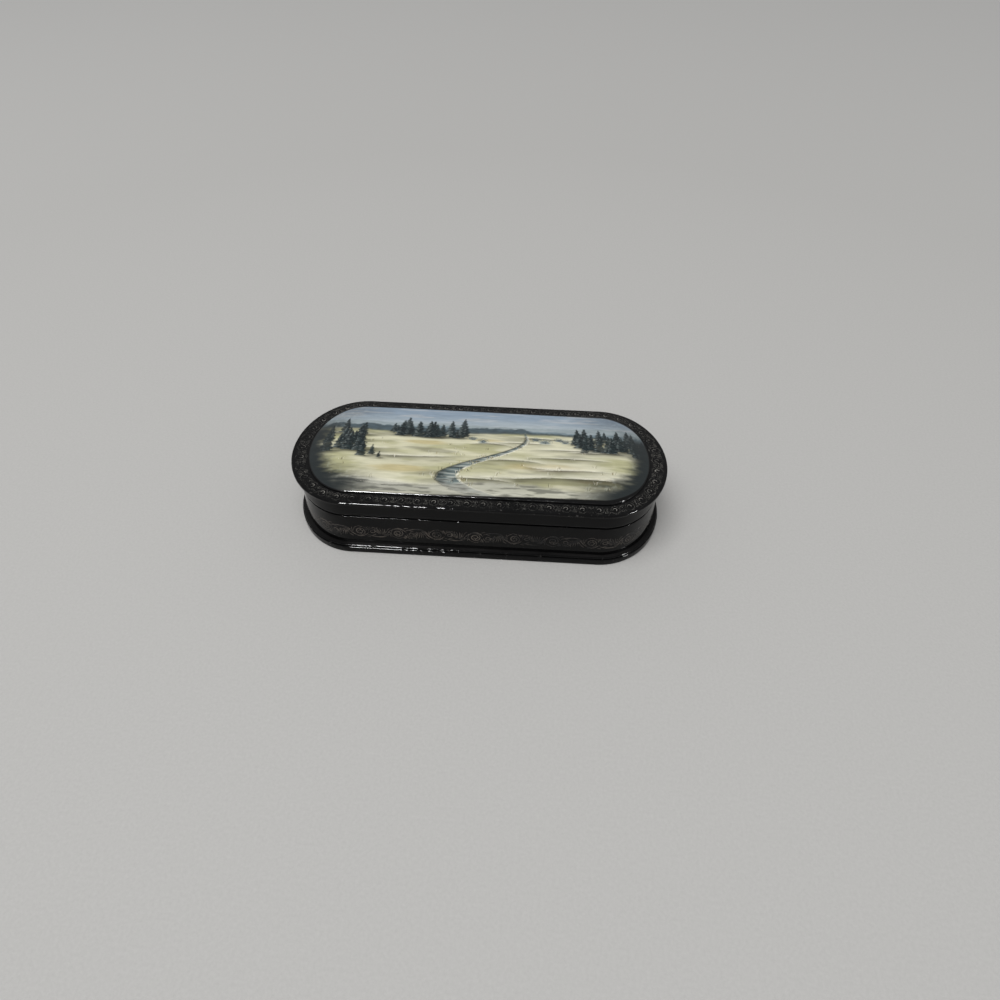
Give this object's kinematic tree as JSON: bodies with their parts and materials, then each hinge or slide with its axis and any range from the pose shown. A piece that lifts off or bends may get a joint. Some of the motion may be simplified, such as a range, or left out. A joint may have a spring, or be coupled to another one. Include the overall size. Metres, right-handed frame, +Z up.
{
  "type": "eyeglass case",
  "caption": "Black lacquer papier-mache eyeglass case with rounded ends, a stepped foot and a hinged lid with a domed painted panel and gold filigree.",
  "frame": {"origin": "middle of the flat underside of the foot", "axes": "+X along the case to the right as seen from the front, -Y towards the front, +Y towards the hinge, +Z up"},
  "size_m": [0.1656, 0.0698, 0.0343],
  "materials": {
    "black_lacquer": "gloss",
    "red_lacquer": "gloss",
    "painted_lacquer": "gloss",
    "brass": "satin"
  },
  "bodies": {
    "base": {"foot_plate": "black_lacquer", "floor_plate": "red_lacquer", "base_wall": "black_lacquer", "base_collar": "red_lacquer", "hinge_base_leaf": "brass", "hinge_pin": "brass", "base_brad_1": "brass", "base_brad_2": "brass", "base_brad_3": "brass", "base_brad_4": "brass"},
    "lid": {"lid_rim": "black_lacquer", "lid_plate": "black_lacquer", "lid_panel": "painted_lacquer", "hinge_lid_leaf": "brass", "lid_brad_1": "brass", "lid_brad_2": "brass", "lid_brad_3": "brass"}
  },
  "joints": [
    {"name": "lid_hinge", "type": "hinge", "parent": "base", "child": "lid", "pos_m": [0, 0.03225, 0.0204], "axis": [-1, 0, 0], "range_deg": [0, 105]}
  ]
}
